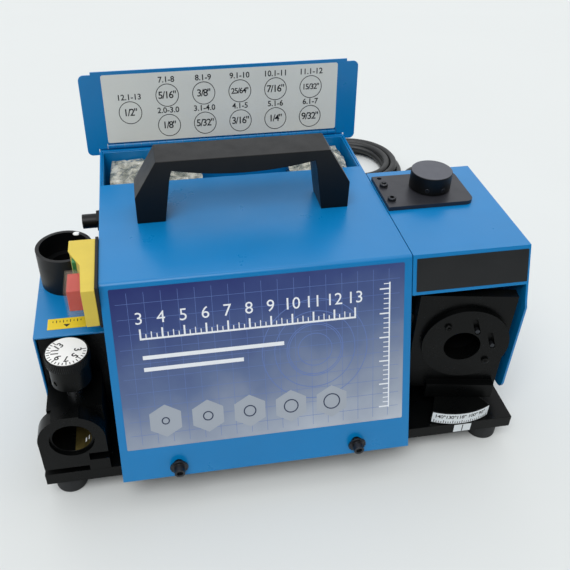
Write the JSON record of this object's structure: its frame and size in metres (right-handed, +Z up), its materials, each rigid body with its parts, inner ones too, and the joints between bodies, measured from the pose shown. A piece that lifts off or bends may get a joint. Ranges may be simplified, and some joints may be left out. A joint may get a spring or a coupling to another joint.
{
  "type": "drill bit sharpener",
  "caption": "Bench drill bit sharpener with a slanted front, carrying handle, lidded storage bay, length setting dial, thinning cup and swivelling lip grinding port.",
  "frame": {"origin": "bottom centre of the machine's bounding box, on the bench under its feet, with the power cord left out", "axes": "+X to the operator's right along the motor shaft, +Y away from the operator towards the lid's hinge, +Z up"},
  "size_m": [0.4405, 0.4845, 0.2103],
  "materials": {
    "blue_enamel": "smooth sky blue stove enamel on folded sheet steel",
    "black_enamel": "black enamel on a machined casting, slightly satin",
    "black_plastic": "black moulded plastic, fine satin grain",
    "foot_rubber": "black rubber, matt",
    "cord_sheath": "black PVC cord sheath, satin",
    "bright_steel": "turned or ground steel",
    "black_oxide": "black oxide steel, thin oil film",
    "brass": "aged brass",
    "front_print": "printed vinyl label, navy fading to pale grey",
    "pale_print": "printed pale grey vinyl",
    "yellow_print": "yellow printed vinyl",
    "black_print": "black printed vinyl",
    "white_plastic": "white moulded plastic",
    "clear_film": "clear crinkled film bag",
    "motor_grey": "grey paint on a rolled motor shell",
    "cast_alloy": "die-cast end shields and capacitor can",
    "winding": "varnished laminations and copper windings",
    "abrasive": "electroplated abrasive grit",
    "switch_yellow": "yellow moulded plastic",
    "start_green": "green moulded plastic",
    "stop_red": "red moulded plastic",
    "boot": "clear flexible cover, slightly yellowed"
  },
  "bodies": {
    "machine": {"base_plate": "black_enamel", "rubber_feet": "foot_rubber", "cover_rail": "black_enamel", "main_cover": "blue_enamel", "cover_fasteners": "black_oxide", "front_label": "front_print", "handle": "black_plastic", "screws": "bright_steel", "storage_tray": "blue_enamel", "collets": "bright_steel", "collet_bags": "clear_film", "body_hinge_leaf": "blue_enamel", "hinge_pin": "bright_steel", "left_hood": "blue_enamel", "left_bracket": "black_enamel", "thinning_cup": "black_enamel", "setting_block": "black_enamel", "setting_sleeve": "brass", "right_hood": "blue_enamel", "hood_plaque": "black_print", "feed_plate": "black_enamel", "feed_bracket": "black_enamel", "small_labels": "yellow_print", "pivot_bolt": "black_oxide", "motor_housing": "motor_grey", "end_shields": "cast_alloy", "stator": "winding", "bearings": "bright_steel", "capacitor": "cast_alloy", "switch_plate": "black_plastic", "switch_housing": "switch_yellow", "button_boot": "boot", "fuse_holder": "black_plastic", "cord_gland": "black_plastic", "power_cord": "cord_sheath", "cord_coil": "cord_sheath", "plug": "black_plastic"},
    "lid": {"lid_panel": "blue_enamel", "lid_hinge_leaf": "blue_enamel", "lid_label": "pale_print"},
    "dial": {"dial_knob": "black_plastic", "dial_face": "white_plastic", "dial_spindle": "bright_steel", "dial_set_screw": "bright_steel"},
    "stop_slide": {"stop_slide": "bright_steel"},
    "feed_knob": {"feed_knob": "black_plastic", "feed_screw": "bright_steel"},
    "feed_nut": {"feed_nut": "white_plastic"},
    "swivel_head": {"swivel_base": "black_enamel", "port_plate": "black_enamel", "port_disc": "black_enamel", "port_screws": "black_oxide", "guide_pins": "bright_steel", "angle_scale": "pale_print"},
    "rotor": {"rotor": "bright_steel", "motor_shaft": "bright_steel", "grinding_wheels": "abrasive", "wheel_flanges": "bright_steel"},
    "start_button": {"start_button": "start_green"},
    "stop_button": {"stop_button": "stop_red"}
  },
  "joints": [
    {"name": "lid_hinge", "type": "hinge", "parent": "machine", "child": "lid", "pos_m": [-0.0155, 0.10674, 0.1534], "axis": [1, 0, 0], "range_deg": [0, 96]},
    {"name": "dial_turn", "type": "hinge", "parent": "machine", "child": "dial", "pos_m": [-0.1363, -0.07116, 0.0935], "axis": [0, 0, 1], "range_deg": [-276, 0]},
    {"name": "stop_travel", "type": "slide", "parent": "machine", "child": "stop_slide", "axis": [0, 1, 0], "range_m": [0, 0.0058]},
    {"name": "feed_turn", "type": "hinge", "parent": "machine", "child": "feed_knob", "pos_m": [0.118, 0.01004, 0.1585], "axis": [0, 0, 1], "range_deg": [-360, 360]},
    {"name": "nut_travel", "type": "slide", "parent": "machine", "child": "feed_nut", "axis": [0, 0, 1], "range_m": [-0.0016, 0.0016]},
    {"name": "head_swivel", "type": "hinge", "parent": "machine", "child": "swivel_head", "pos_m": [0.1238, -0.04996, 0.0285], "axis": [0, 0, 1], "range_deg": [-14, 11]},
    {"name": "motor_spin", "type": "hinge", "parent": "machine", "child": "rotor", "pos_m": [-0.0155, 0.00104, 0.0775], "axis": [1, 0, 0], "continuous": true},
    {"name": "start_press", "type": "slide", "parent": "machine", "child": "start_button", "axis": [1, 0, 0], "range_m": [0, 0.0025], "stiffness_N_per_m": 500, "springref_m": -0.002},
    {"name": "stop_press", "type": "slide", "parent": "machine", "child": "stop_button", "axis": [1, 0, 0], "range_m": [0, 0.0025], "stiffness_N_per_m": 500, "springref_m": -0.002}
  ],
  "couplings": [
    {"joint": "stop_travel", "follows": "dial_turn", "m_per_rad": -0.0012},
    {"joint": "nut_travel", "follows": "feed_turn", "m_per_rad": 0.00023873}
  ]
}
